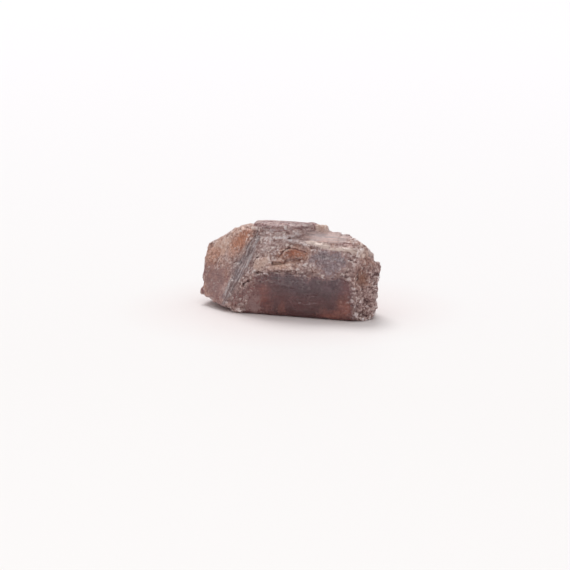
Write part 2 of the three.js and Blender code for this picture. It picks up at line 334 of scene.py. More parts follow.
# Patches of the front, drawn in the front elevation as corners (x, z).
FRONT_PATCHES = {
    "wall": [
        (-3.9, -0.3), (-2.9, 2.4), (-2.4, 4.0), (0.8, 4.4), (2.9, 4.3), (4.5, 4.1), (6.2, 4.4),
        (7.7, 4.0), (7.8, -0.3),
    ],
    "grey_face": [
        (3.8, 6.8), (6.3, 6.9), (7.1, 6.5), (7.0, 5.7), (6.1, 4.8), (4.9, 4.2), (4.3, 4.8), (3.7, 5.7),
    ],
    "shelf": [(4.5, 7.8), (6.7, 7.9), (7.8, 7.5), (6.8, 7.2), (5.1, 7.3), (4.6, 7.5)],
    "ridge": [(5.0, 7.0), (7.5, 7.1), (8.8, 6.7), (8.8, 6.3), (8.0, 6.4), (6.3, 6.6)],
    "amber_window": [
        (-5.0, 8.1), (-3.6, 8.2), (-3.7, 7.7), (-4.0, 7.0), (-4.5, 6.3), (-5.1, 5.9), (-5.8, 5.8),
        (-6.2, 6.3), (-5.9, 7.1), (-5.5, 7.7),
    ],
    "beige_edge": [
        (-9.2, 6.0), (-8.4, 6.5), (-6.7, 7.5), (-4.8, 8.6), (-3.0, 8.8), (-3.3, 8.1), (-5.3, 8.0),
        (-6.2, 6.9), (-6.4, 5.9), (-7.3, 5.1), (-8.6, 5.4),
    ],
    "mauve": [(-9.4, 3.5), (-6.9, 4.0), (-6.1, 3.2), (-6.1, 2.2), (-7.1, 1.2), (-8.7, 1.2), (-9.6, 2.1)],
    "band": [
        (-3.0, 8.1), (-4.0, 6.3), (-5.2, 4.4), (-5.7, 2.8), (-6.3, 1.5), (-6.4, 0.6), (-5.8, 0.5),
        (-5.5, 1.6), (-4.9, 2.5), (-4.0, 3.7), (-3.3, 5.0), (-2.9, 6.0), (-2.5, 7.7),
    ],
    "band_grey": [(-5.4, 4.3), (-4.1, 4.7), (-4.2, 3.5), (-5.0, 2.8), (-5.5, 3.2)],
    "pitted": [(-5.4, 1.7), (-3.6, 3.3), (-2.5, 3.9), (-2.3, 2.4), (-2.8, 0.6), (-5.6, 0.4)],
    "rippled": [
        (-2.4, 8.8), (2.5, 8.8), (2.9, 8.3), (1.9, 8.0), (2.8, 7.4), (2.3, 6.9), (0.6, 7.1),
        (-0.1, 6.7), (-2.1, 6.3), (-2.6, 7.6),
    ],
    "flake": [(-2.7, 5.3), (-2.0, 5.9), (-0.9, 5.9), (-1.0, 5.3), (-1.4, 4.8), (-2.1, 4.5), (-2.8, 4.7)],
    "ledge": [(-1.3, 5.2), (0.0, 5.6), (2.0, 5.5), (2.3, 5.0), (0.7, 4.6), (-1.1, 4.7)],
    "scar": [(0.2, 6.5), (1.9, 7.1), (2.9, 6.7), (2.9, 6.0), (2.0, 5.5), (0.0, 5.6), (-0.3, 5.9)],
    "right_window": [(8.1, 5.2), (8.7, 4.7), (8.9, 3.5), (8.6, 3.4), (8.1, 4.2)],
    "dashes": [(1.8, 1.5), (3.0, 2.4), (5.2, 2.6), (7.0, 2.5), (7.0, 1.7), (4.6, 1.5)],
    "specks": [(-2.1, 3.3), (-1.7, 4.4), (2.4, 4.6), (3.8, 4.2), (2.8, 3.4), (0.5, 3.1)],
    "slate": [(-1.2, 4.6), (6.6, 4.6), (6.6, 2.5), (4.2, 1.9), (1.6, 2.1), (0.2, 2.9)],
    "silver_grains": [(7.8, 0.3), (8.0, 1.6), (8.8, 2.4), (9.9, 2.3), (9.9, 0.0), (8.0, 0.0)],
}


def rise(value, low, high):
    """0 up to low, 1 from high on, smooth between."""
    t = np.clip((value - low) / (high - low), 0, 1)
    return t * t * (3 - 2 * t)


def drawn(points, corners, reach=0.6):
    """0.5 on an outline in the front elevation, rising to 1 inside it and falling to 0 outside."""
    x, z = points[:, 0], points[:, 2]
    nearest = np.full(len(points), 1e9, np.float32)
    odd = np.zeros(len(points), bool)
    for (ax, az), (bx, bz) in zip(corners, corners[1:] + corners[:1]):
        ex, ez = bx - ax, bz - az
        wx, wz = x - ax, z - az
        t = np.clip((wx * ex + wz * ez) / (ex * ex + ez * ez), 0, 1)
        nearest = np.minimum(nearest, (wx - t * ex) ** 2 + (wz - t * ez) ** 2)
        if ez:
            odd ^= ((az <= z) != (bz <= z)) & (wx < ex * wz / ez)
    distance = np.where(odd, 1, -1) * np.sqrt(nearest)
    return np.clip(0.5 + distance / (2 * reach), 0, 1)


def patch(points, centre, radii, reach=0.6):
    """0.5 on the skin of an egg shape, rising to 1 inside and falling to 0 outside."""
    x, y, z = (points - np.asarray(centre, np.float32)).T
    r = np.sqrt((x / radii[0]) ** 2 + (y / radii[1]) ** 2 + (z / radii[2]) ** 2)
    return np.clip(0.5 + (1 - r) * min(radii) / (2 * reach), 0, 1)


def streak(points, start, end, radius):
    """1 along a line from start to end, 0 beyond the radius."""
    start = np.asarray(start, np.float32)
    along = np.asarray(end, np.float32) - start
    t = np.clip(((points - start) @ along) / (along @ along), 0, 1)
    away = points - start - t[:, None] * along
    return rise(-np.linalg.norm(away, axis=1), -radius, -0.4 * radius)


def most(*values):
    """The greatest of several values at each point."""
    return np.maximum.reduce(values)


def strongest(kinds, *more, **weights):
    """The most of several kinds of ground, each times its weight."""
    return most(*more, *(kinds[name] * weight for name, weight in weights.items()))


def ground(points):
    """How much of each kind of ground there is at each point: 0.5 is the border of a kind, 1 its heart."""
    wander = np.stack([rough_noise(points, 1.3, 31 + a, 4) for a in range(3)], 1) * 0.4
    p = points + wander
    x, y, z = p[:, 0], p[:, 1], p[:, 2]
    front = rise(-y, -1.7, -1.1)
    lie = rough_noise(points, (2.6, 1.2, 1.0), 77, 3)
    k = {name: drawn(p, corners) * front for name, corners in FRONT_PATCHES.items()}
    k["amber_window"] = drawn(p, FRONT_PATCHES["amber_window"], reach=1.1) * front
    k["knob"] = patch(p, (3.75, -0.75, 8.75), (0.8, 0.6, 0.45), reach=0.25)
    k["lens"] = patch(p, (4.2, -1.5, 8.05), (2.5, 1.0, 0.8), reach=0.4)
    k["grey_bead"] = patch(p, (3.66, -3.2, 5.9), (0.4, 0.8, 0.4), reach=0.2)
    k["crest"] = most(*(streak(p, *part) for part in CRESTS))
    k["top"] = np.clip(0.5 + np.minimum((z - 8.45) * 3, y + 2.6), 0, 1) * rise(-x, -3.2, -2.9)
    k["back"] = rise(y, 1.0, 2.2)
    k["right_end"] = rise(x, 6.6, 7.8) * (1 - k["grey_face"]) * rise(-z, -7.0, -6.6)
    k["left_face"] = rise(-x, 5.2, 6.0) * front

    # cracks run four times as deep as they are wide
    flat = points * (1, 0.25, 1) + (0, 0.75 * CRACK_DEPTH, 0)
    k["crack"] = most(*(
        streak(flat, (ax, CRACK_DEPTH, az), (bx, CRACK_DEPTH, bz), CRACK_REACH)
        for corners in CRACKS for (ax, az), (bx, bz) in zip(corners, corners[1:])
    ))

    # smooth ground, and how much of it is clear
    back_calm = k["back"] * np.clip(0.5 + lie, 0, 1) * 0.95
    k["calm"] = strongest(
        k, k["left_face"] * (0.25 + 0.27 * rise(-z, -4.8, -3.2)), back_calm,
        wall=1, grey_face=0.9, top=0.85, lens=1, shelf=0.75, mauve=0.85, band_grey=0.8, amber_window=0.75,
        right_window=0.85, scar=0.6, pitted=0.45, band=0.45, grey_bead=1,
    )
    k["clear"] = strongest(
        k, back_calm, wall=1, grey_face=0.55, mauve=0.6, amber_window=0.6, right_window=0.7, scar=0.5,
        pitted=0.4,
    )
    colour_ground(k, points, p, lie)
    softer = 1 - 0.5 * k["left_face"] - 0.3 * k["band"] - 0.15 * k["right_end"] - 0.4 * k["rippled"]
    k["grit"] = np.clip(rise(-k["calm"], -0.65, -0.35) * softer, 0, 1)
    quiet = np.clip(0.9 + 0.8 * rough_noise(points, (2.4, 1.5, 1.1), 97, 2), 0.5, 1)
    k["grit"] *= quiet * (1 - 0.6 * strongest(k, flake=1, ledge=1, knob=1))
    return k


def colour_ground(k, points, p, lie):
    """Adds how much of each colour there is, how warm and how light the ground is."""
    back_patch = k["back"] * np.clip(0.3 + 1.2 * rough_noise(points, (2.2, 1.4, 1.4), 87, 2), 0, 1)
    # amber: a stain on the scar and edges, painted glow in the thin clear windows
    k["amber"] = strongest(
        k, back_patch * 0.75, patch(p, (-8.6, 0.6, 5.0), (1.5, 1.5, 1.2)) * 0.5,
        patch(p, (8.4, -1.8, 5.9), (0.8, 1.0, 0.6)) * 0.5,
        amber_window=1, scar=0.65, right_window=0.9, beige_edge=0.45, ledge=0.45,
    )
    glow = most(*(patch(p, middle, radii, reach=reach) * part for middle, radii, reach, part in EMBERS))
    glow = strongest(k, glow, k["back"] * np.clip(0.3 + lie, 0, 1) * 0.8, pitted=0.55, right_window=0.5)
    k["ember"] = np.clip(glow + 0.35 * rough_noise(points, (0.9, 1.2, 2.4), 83, 3) - 0.05, 0, 1)
    k["mauve"] = most(k["mauve"], patch(p, (-2.6, -3.5, 0.9), (1.2, 1.2, 1.7), reach=1.1) * 0.72)
    k["silver"] = strongest(
        k, k["back"] * np.clip(0.4 - lie, 0, 1) * 0.7,
        grey_face=0.9, band_grey=0.9, band=0.6, silver_grains=0.7, rippled=0.45, right_end=0.45, grey_bead=1,
    )
    # pale: crushed edges, and painted highlight where the crests are
    k["pale"] = strongest(
        k, patch(p, (-8.4, -1.5, 0.5), (1.3, 1.3, 0.5)) * 0.7,
        beige_edge=0.7, flake=0.95, ledge=0.7, ridge=0.85, knob=1, crest=0.95,
    )
    k["sheen"] = strongest(k, lens=1, top=0.5, shelf=0.5)
    k["deep"] = rise(k["wall"], 0.4, 0.7) * rise(-p[:, 2], -3.6, -1.0)
    warm = strongest(
        k, beige_edge=1, amber_window=1, flake=1, ledge=1, scar=1, ridge=0.6, right_window=1, shelf=0.8,
        left_face=0.9, knob=1,
    )
    cool = strongest(k, band=1, grey_face=1, silver_grains=1, top=1, lens=0.6, rippled=0.5, right_end=1.2)
    k["warmth"] = 0.5 + 0.5 * warm - 0.5 * cool
    bright = strongest(
        k, rippled=0.65, ridge=1, beige_edge=0.6, flake=0.6, ledge=0.3, shelf=0.5, knob=0.7, crest=1,
    )
    dark = strongest(
        k, top=0.45, silver_grains=0.75, pitted=0.7, right_end=0.6, wall=0.3, band=0.6, mauve=0.6,
        right_window=1,
    )
    k["light"] = 0.5 + 0.5 * bright - 0.5 * dark


# ---- the crystal's surface


def solid_of(node):
    """Corners in millimetres and triangles of one solid."""
    mesh = node.data
    mesh.calc_loop_triangles()
    corners = np.empty(len(mesh.vertices) * 3, np.float32)
    mesh.vertices.foreach_get("co", corners)
    triangles = np.empty(len(mesh.loop_triangles) * 3, np.int32)
    mesh.loop_triangles.foreach_get("vertices", triangles)
    corners = corners.reshape(-1, 3) / MM
    whole, which = np.unique(corners.round(4), axis=0, return_inverse=True)
    return whole.astype(np.float32), which.reshape(-1)[triangles].reshape(-1, 3).astype(np.uint32)


def level_set(corners, triangles, step, reach):
    """The distance to a surface as far as the reach, in millimetres."""
    return openvdb.FloatGrid.createLevelSetFromPolygons(
        corners, triangles=triangles, transform=openvdb.createLinearTransform(voxelSize=step),
        halfWidth=reach / step,
    )


def sample(grid, first, step, points):
    """The grid's value at any points, in straight lines between grid points."""
    places = np.clip(points / step - first, 0, np.array(grid.shape) - 1.001)
    total = np.zeros(len(points), np.float32)
    for weight, *cell in around(places):
        total += weight * grid[tuple(cell)]
    return total


def blur(grid, times):
    """Each grid point becomes the mean of itself and its neighbours along each axis, several times over."""
    for _ in range(times):
        for axis in range(3):
            grid = (np.roll(grid, 1, axis) + grid * 2 + np.roll(grid, -1, axis)) / 4
    return grid


def stone_share(grid, step, times):
    """How much of the space around each grid point is stone: more blurs reach further around it."""
    return blur(np.clip(0.5 - grid / (2 * step), 0, 1), times)


def ridges(along, across, y, width, length, seed):
    """Long ridges from 0 to 1 lying along one direction."""
    wave = smooth_noise(np.stack([along / length, y * 0.5, across / width], 1), 1, seed)
    return 1 - np.abs(wave) * 2


def turned(x, z, degrees):
    """How far along and how far across a direction in the front elevation each point lies."""
    c, s = math.cos(math.radians(degrees)), math.sin(math.radians(degrees))
    return x * c + z * s, z * c - x * s


def relief(points, sharpness, shape):
    """How far the surface lies under its solid at each point, in millimetres; less than 0 stands out."""
    k = ground(points)
    crisp = {name: rise(value, 0.42, 0.58) for name, value in k.items()}
    grit = k["grit"]
    x, y, z = points[:, 0], points[:, 1], points[:, 2]
    fine = rough_noise(points, 0.26, 15, 2)
    depth = (0.012 + 0.03 * grit) * fine

    # cleavage steps run along the crystal
    lie = rough_noise(points, (3.4, 0.9, 0.7), 21, 3) * 3.0
    step = np.floor(lie)
    edge = np.clip((lie - step - 0.82) / 0.18, 0, 1)
    depth += (step + edge) * shape.terrace_rise / MM * (0.12 + 0.88 * grit)

    # ripples under the top, pits at the lower left
    arched = z - 0.036 * (x + 0.5) ** 2
    depth -= k["rippled"] * ridges(*turned(x, arched, 4), y, 0.28, 2.0, 25) * 0.11
    pit = np.clip(rough_noise(points, 0.42, 27, 2) * 2.0 - 0.1, 0, 1)
    depth += crisp["pitted"] * pit * 0.09

    # fibres across the plates and the scar, grooves and cracks between them
    along, across = turned(x, z, 17)
    fibrous = most(crisp["ledge"], crisp["flake"] * 0.5, crisp["scar"])
    depth -= fibrous * ridges(along, across, y, 0.20, 1.6, 33) * 0.04
    for start, end, reach, deep in GROOVES:
        depth += streak(points, start, end, reach) * deep
    depth += k["crack"] * 0.09
    ring = np.sqrt((x - 2.2) ** 2 + (z - 4.9) ** 2)
    depth += crisp["scar"] * (0.02 + 0.02 * np.sin(ring * 13))

    # lines down the slanting band and across the left face, growth lines along the wall and the top
    along, across = turned(x, z, 68)
    depth -= crisp["band"] * (1 - 0.8 * crisp["band_grey"]) * ridges(along, across, y, 0.24, 3.0, 63) * 0.09
    depth -= k["left_face"] * ridges(along, across, y, 0.5, 2.5, 64) * 0.03
    line = smooth_noise(np.stack([x * 0.07, y * 0.2, z], 1), 0.16, 61)
    depth += crisp["wall"] * line * shape.growth_line_depth / MM
    depth += k["top"] * smooth_noise(np.stack([x * 0.08, y, z], 1), 0.25, 62) * shape.growth_line_depth / MM

    # sharp edges are chipped and crushed
    chips = np.clip(rough_noise(points, 0.8, 51, 2) * 1.5 + 0.3, 0, 1)
    depth += np.clip(sharpness, 0, 1) * chips * (1 - 0.8 * k["top"]) * shape.crushed / MM
    return depth - 0.03


def broken_away(points, solid, shape):
    """The distance to the surface after cleavage blocks have broken out of the rough ground, and the shade of
    the large and the small block there."""
    k = ground(points)
    long, short = shape.splinter / MM, shape.chip / MM
    rougher = 0.6 + 0.4 * k["back"] + 0.2 * rise(points[:, 0], 8.0, 8.8)
    rubble = np.clip(k["grit"] * rougher * (1 - 0.5 * k["left_face"]) + 0.04, 0, 1.5)
    coarse = shape.splinter_depth / MM * rubble
    fine = shape.chip_depth / MM * np.clip(k["grit"] + 0.06, 0, 1)
    large = (long * 2.6, long, long * 0.8)
    left, large_tone = splinters(points, solid - 0.3 * coarse, large, coarse, 0.6, 3).T
    left, small_tone = splinters(points, left - 0.3 * fine, (short * 2.6, short, short), fine, 0.6, 9).T
    plates = np.minimum.reduce([block(points, *plate) for plate in PLATES.values()])
    plates = plates + 0.06 * rough_noise(points, 0.5, 91, 3)
    left = np.minimum(left, np.maximum(plates, solid - 0.35))

    healed = np.linalg.norm(points - np.array(HEALED[0], np.float32), axis=1) - HEALED[1]
    left = np.minimum(left, np.maximum(healed, solid + 0.03))

    # a smooth sheet slopes down to the front below the knob, and its left side leans
    x, y, z = (points + 0.10 * rough_noise(points, 1.2, 93, 2)[:, None]).T
    above = past(x, y, z, *SHEET)
    left_side = 1.7 + 2.0 * (z - 7.85) - 2.0 * above - x
    room = most(outside(x, y, z, (-FAR, -FAR, 7.6), (5.4, -0.74, FAR)), left_side)
    left = np.maximum(left, np.minimum(above, -room))
    bed = outside(x, y, z, (1.9, -2.0, 7.2), (5.6, -0.1, FAR))
    left = np.minimum(left, most(above, bed, solid - 0.6))

    # slanting breaks cut the upper left corner and the rim behind the knob
    left = np.maximum(left, np.minimum(past(x, y, z, *CORNER_CUT), -6.3 - x))
    left = np.maximum(left, np.minimum.reduce([past(x, y, z, *RIM_CUT), y + 0.7, x - 4.0]))

    # a notch is broken out of the upper right corner, right of its side and above its floor
    side = 8.2 - 0.94 * x - 0.34 * y
    floor = 4.72 + 0.07 * x - 0.2 * y - 0.98 * z
    left = np.maximum(left, -np.maximum(side, floor))
    return np.stack([left, large_tone, small_tone], 1)


def mended(corners, triangles, step, cleft):
    """A grid of the distance to the solid in millimetres, negative inside, after clefts narrower than twice
    the cleft are filled, and the place of the grid's first point."""
    level = level_set(corners, triangles, step, cleft + 4 * step)
    swollen, faces, quads = level.convertToPolygons(isovalue=cleft)
    halves = np.concatenate([quads[:, [0, 1, 2]], quads[:, [0, 2, 3]]]).astype(np.uint32)
    if len(faces):
        halves = np.concatenate([faces.astype(np.uint32), halves])
    level = level_set(swollen, halves, step, 1.1 + cleft)
    low, high = level.evalActiveVoxelBoundingBox()
    first = np.array(low) - 3
    grid = np.empty(np.array(high) + 4 - first, np.float32)
    level.copyToArray(grid, ijk=tuple(int(i) for i in first))
    return grid + cleft, first


def worn_stone(node, shape):
    """Grids of the distance to the solid and to the broken, worn stone, in millimetres, negative inside, and
    the place of their first point."""
    step = shape.detail / MM
    grid, first = mended(*solid_of(node), step, shape.cleft / MM)
    places = np.argwhere((grid > -0.9) & (grid < 0.6))
    points = ((places + first) * step).astype(np.float32)
    wander = shape.edge_wander / MM

    def wandered(points):
        shift = np.stack([rough_noise(points, 1.9, 71 + a, 3) for a in range(3)], 1) * wander
        return sample(grid, first, step, points + shift)

    solid = grid.copy()
    solid[tuple(places.T)] = spread(wandered, points)

    # an edge is sharp where there is less stone around than flat ground would have
    near = (solid[tuple(places.T)] > -0.78) & (solid[tuple(places.T)] < 0.45)
    here, points = tuple(places[near].T), points[near]
    depth = solid[here]
    flat_ground = 1 / (1 + np.exp(1.7 * depth / (BLURRED * step)))
    sharpness = (flat_ground - stone_share(solid, step, 9)[here] - 0.03) * 5.0
    worn = solid.copy()
    worn[here] = spread(lambda p, d: broken_away(p, d, shape)[:, 0], points, depth)
    worn[here] += np.clip(spread(lambda p, s: relief(p, s, shape), points, sharpness), -0.12, 0.4)

    # thin horns wear off and narrow pits fill up
    share_inside = stone_share(worn, step, 10)
    worn = np.maximum(worn, (THINNEST - share_inside) * SOFTENING)
    worn = np.minimum(worn, (NARROWEST - share_inside) * SOFTENING)
    height = (np.arange(grid.shape[2]) + first[2]) * step
    worn = np.maximum(worn, -height[None, None, :].astype(np.float32))
    return solid, worn, first


def crystal_surface(node, shape):
    """Corners in millimetres, four-sided faces and, for each corner, its share of every kind of ground."""
    step = shape.detail / MM
    solid, worn, first = worn_stone(node, shape)
    level = openvdb.FloatGrid(1.1)
    level.copyFromArray(worn, ijk=tuple(int(i) for i in first))
    level.transform = openvdb.createLinearTransform(voxelSize=step)
    level.gridClass = openvdb.GridClass.LEVEL_SET
    skin, quads = largest_piece(*level.convertToQuads(isovalue=0.0))
    points = skin.astype(np.float32)
    marks = spread(ground, points)
    shades = spread(lambda p, d: broken_away(p, d, shape), points, sample(solid, first, step, points))
    marks["large_tone"], marks["small_tone"] = shades[:, 1], shades[:, 2]
    here = sample(stone_share(worn, step, 3), first, step, points)
    marks["wear"] = (0.47 - here) * 8
    # painted shade: the more stone around a hollow, the darker its colour
    marks["hollow"] = (here - 0.53) * 8
    return skin, quads, marks


def largest_piece(skin, quads):
    """Drops crumbs that hang free of the main surface."""
    group = np.arange(len(skin))
    while True:
        low = group[quads].min(1)
        new = group.copy()
        np.minimum.at(new, quads.ravel(), np.repeat(low, 4))
        new = new[new]
        if (new == group).all():
            break
        group = new
    kept = np.bincount(group[quads[:, 0]], minlength=len(skin)).argmax()
    faces = quads[group[quads[:, 0]] == kept][:, ::-1]
    used = np.unique(faces)
    place = np.full(len(skin), -1)
    place[used] = np.arange(len(used))
    return skin[used], place[faces]


def placed(name, data):
    """A new object in the scene."""
    made = bpy.data.objects.new(name, data)
    bpy.context.scene.collection.objects.link(made)
    return made


def mesh_piece(name, corners_mm, faces):
    """A shown piece from corners in millimetres and four-sided faces."""
    mesh = bpy.data.meshes.new(name)
    mesh.vertices.add(len(corners_mm))
    mesh.vertices.foreach_set("co", (corners_mm * MM).astype(np.float32).ravel())
    mesh.loops.add(len(faces) * 4)
    mesh.loops.foreach_set("vertex_index", faces.astype(np.int32).ravel())
    mesh.polygons.add(len(faces))
    mesh.polygons.foreach_set("loop_start", np.arange(len(faces), dtype=np.int32) * 4)
    mesh.update(calc_edges=True)
    mesh.validate()
    mesh.set_sharp_from_angle(angle=math.radians(CREASE))
    return placed(name, mesh)


def keep(piece, name, values):
    """Stores one number per corner for the finish to read."""
    made = piece.data.attributes.new(name, "FLOAT", "POINT")
    made.data.foreach_set("value", np.clip(values, 0, 1).astype(np.float32))


def stored_values(material):
    """The names of the numbers that a finish reads from the mesh, in order."""
    return sorted({node.attribute_name for node in material.node_tree.nodes if node.type == "ATTRIBUTE"})


# ---- finishes


class Nodes:
    """Makes shader nodes and links them."""

    def __init__(self, tree):
        self.tree = tree

    def give(self, given, into):
        """Links an output to a socket, or puts a number, a vector or a colour on the socket itself."""
        if isinstance(given, bpy.types.NodeSocket):
            self.tree.links.new(given, into)
        elif isinstance(given, (int, float)):
            into.default_value = given
        else:
            into.default_value = (*given, 1.0)[:len(into.default_value)]

    def add(self, kind, given, **settings):
        """A node with these settings and with what is given to each of its sockets."""
        node = self.tree.nodes.new("ShaderNode" + kind)
        for name, value in settings.items():
            setattr(node, name, value)
        for name, value in given.items():
            self.give(value, node.inputs[name])
        return node

    def where(self):
        """Places on the piece, in metres."""
        return self.add("TexCoord", {}).outputs["Object"]

    def value(self, name):
        """A kind of ground that is stored on the mesh."""
        return self.add("Attribute", {}, attribute_name=name).outputs["Fac"]

    def math(self, operation, *given, clamp=False):
        return self.add("Math", dict(enumerate(given)), operation=operation, use_clamp=clamp).outputs[0]

    def vector(self, operation, *given):
        return self.add("VectorMath", dict(enumerate(given)), operation=operation).outputs

    def part(self, vector, axis):
        return self.add("SeparateXYZ", {0: vector}).outputs[axis]

    def times(self, first, *others):
        """All the given values multiplied together."""
        for other in others:
            first = self.math("MULTIPLY", first, other)
        return first

    def plus(self, base, given, weight, clamp=False):
        """The base and the weighted given value together."""
        return self.math("MULTIPLY_ADD", given, weight, base, clamp=clamp)

    def mix(self, factor, a, b, kind="MIX"):
        return self.add("Mix", {0: factor, 6: a, 7: b}, data_type="RGBA", blend_type=kind).outputs[2]

    def tinted(self, shade, tint):
        return self.mix(1.0, shade, tint, "MULTIPLY")

    def span(self, given, low, high, to_low=0.0, to_high=1.0):
        """Turns low to high into another range, and holds what lies beyond at its ends."""
        sockets = dict(enumerate((given, low, high, to_low, to_high)))
        return self.add("MapRange", sockets, clamp=True).outputs[0]

    def ramp(self, given, stops):
        node = self.add("ValToRGB", {0: given})
        points = node.color_ramp.elements
        while len(points) < len(stops):
            points.new(0.5)
        for point, (place, tint) in zip(points, stops):
            point.position = place
            point.color = (*tint, 1.0)
        return node.outputs[0]

    def noise(self, where, scale, detail, roughness, stretch=(1, 1, 1), turn=(0, 0, 0)):
        """Noise with this many bumps to the millimetre, stretched and turned (degrees)."""
        place = self.add("Mapping", {
            "Vector": where, "Scale": [MM / s for s in stretch], "Rotation": [math.radians(t) for t in turn],
        }, vector_type="TEXTURE").outputs[0]
        return self.add("TexNoise", {
            "Vector": place, "Scale": scale, "Detail": detail, "Roughness": roughness,
        }).outputs["Fac"]

    def cells(self, where, scale):
        """The shade of each small grain and the tilted height of its face."""
        place = self.add("Mapping", {"Vector": where, "Scale": [scale / MM] * 3}).outputs[0]
        grains = self.add("TexVoronoi", {"Vector": place, "Scale": 1.0}).outputs
        away = self.vector("SUBTRACT", place, grains["Position"])[0]
        lean = self.vector("SUBTRACT", grains["Color"], (0.5, 0.5, 0.5))[0]
        tilt = self.vector("DOT_PRODUCT", away, lean)["Value"]
        return self.part(grains["Color"], 0), self.math("DIVIDE", tilt, scale)


class CrystalNodes(Nodes):
    """Nodes with the patterns that run through the crystal."""

    def __init__(self, tree):
        super().__init__(tree)
        where = self.where()
        self.mottle = self.noise(where, 0.9, 4, 0.6)
        self.hue = self.noise(where, 0.75, 3, 0.6, turn=(20, 40, 60))
        self.speckle = self.noise(where, 3.6, 3, 0.65)
        self.crumbs = self.noise(where, 9.0, 2, 0.6)
        self.lie = self.noise(where, 1.0, 4, 0.6, stretch=(0.35, 1.4, 1.9))
        self.fibre = self.noise(where, 2.2, 3, 0.6, stretch=(0.25, 1.0, 1.8))
        self.striae = self.noise(where, 2.4, 3, 0.65, stretch=(0.16, 1.0, 2.4))
        self.slant = self.noise(where, 2.6, 3, 0.6, stretch=(1.9, 0.8, 0.14), turn=(0, 24, 0))
        self.cell_tone, self.cell_tilt = self.cells(where, 6.2)
        self.spark_tone, self.spark_tilt = self.cells(where, 4.4)
        self.frayed = self.plus(self.plus(-0.5, self.speckle, 0.5), self.mottle, 0.5)

    def ragged(self, name, reach=1.8, soft=0.14):
        """1 where there is much of a kind of ground and 0 elsewhere, with a frayed border."""
        return self.span(self.plus(self.value(name), self.frayed, reach), 0.5 - soft, 0.5 + soft)


def mosaic_colour(n, finish):
    """Broken ground: a mosaic of small blocks, from dark gaps and painted shade in hollows to bright glints.
    """
    tone = n.plus(-0.17, n.value("light"), 0.34)
    # hollows take a darker tone: painted shade
    for given, weight in (
        (n.cell_tone, 0.34), (n.value("small_tone"), -0.14), (n.value("large_tone"), -0.14),
        (n.speckle, 0.45), (n.crumbs, 0.45), (n.value("wear"), 0.25), (n.value("hollow"), -0.25),
    ):
        tone = n.plus(tone, given, weight)
    middle = 0.48
    contrast = n.plus(n.span(n.value("grit"), 0.0, 1.0, 0.55, 1.0), n.value("right_end"), 0.2)
    tone = n.plus(middle, n.math("SUBTRACT", tone, middle), contrast)
    mosaic = n.ramp(n.span(tone, 0.16, 0.80), (
        (0.0, finish.gap), (0.35, finish.body), (0.72, finish.frost), (1.0, finish.glint)
    ))
    warmth = n.plus(n.plus(-1.35, n.value("warmth"), 0.9), n.hue, 1.8, clamp=True)
    return n.tinted(mosaic, n.mix(warmth, finish.cool, finish.warm))


def smooth_colour(n, finish):
    """Smooth cleavage: quieter colours with fibres along the crystal."""
    haze = n.plus(n.plus(n.plus(-1.35, n.value("slate"), 0.9), n.fibre, 0.6), n.hue, 1.2)
    base = n.mix(n.span(haze, -0.2, 0.4), finish.wall, finish.slate)
    base = n.mix(n.times(n.value("deep"), n.span(n.mottle, 0.3, 0.6, 0.6, 1.0)), base, finish.deep)
    glow = n.times(n.ragged("ember", 1.3, 0.26), n.span(n.fibre, 0.35, 0.65, 0.5, 1.0))
    base = n.mix(glow, base, finish.ember)
    # painted glints: bright dashes and specks on the clear wall
    dashes = n.times(n.ragged("dashes"), n.span(n.striae, 0.56, 0.62), n.span(n.speckle, 0.45, 0.6))
    specks = n.times(n.ragged("specks", 2.4), n.span(n.crumbs, 0.55, 0.62))
    base = n.mix(n.times(n.math("MAXIMUM", dashes, specks), 0.6), base, finish.silver_line)
    base = n.mix(n.ragged("mauve"), base, finish.mauve)
    streaked = n.span(n.striae, 0.35, 0.65)
    base = n.mix(n.ragged("sheen"), base, n.mix(streaked, finish.sheen, finish.frost))
    grain = n.span(n.plus(n.plus(-0.15, n.speckle, 0.6), n.crumbs, 0.7), 0.38, 0.66)
    grey = n.mix(grain, finish.silver * 0.35, finish.silver * 1.6)
    grey = n.mix(n.value("grey_face"), grey, n.tinted(grey, (0.83, 0.90, 0.95)))
    base = n.mix(n.times(n.ragged("silver", 2.4), n.span(n.lie, 0.3, 0.6, 0.6, 1.0)), base, grey)
    return n.tinted(base, n.mix(streaked, (0.8, 0.8, 0.82), (1.2, 1.18, 1.18)))


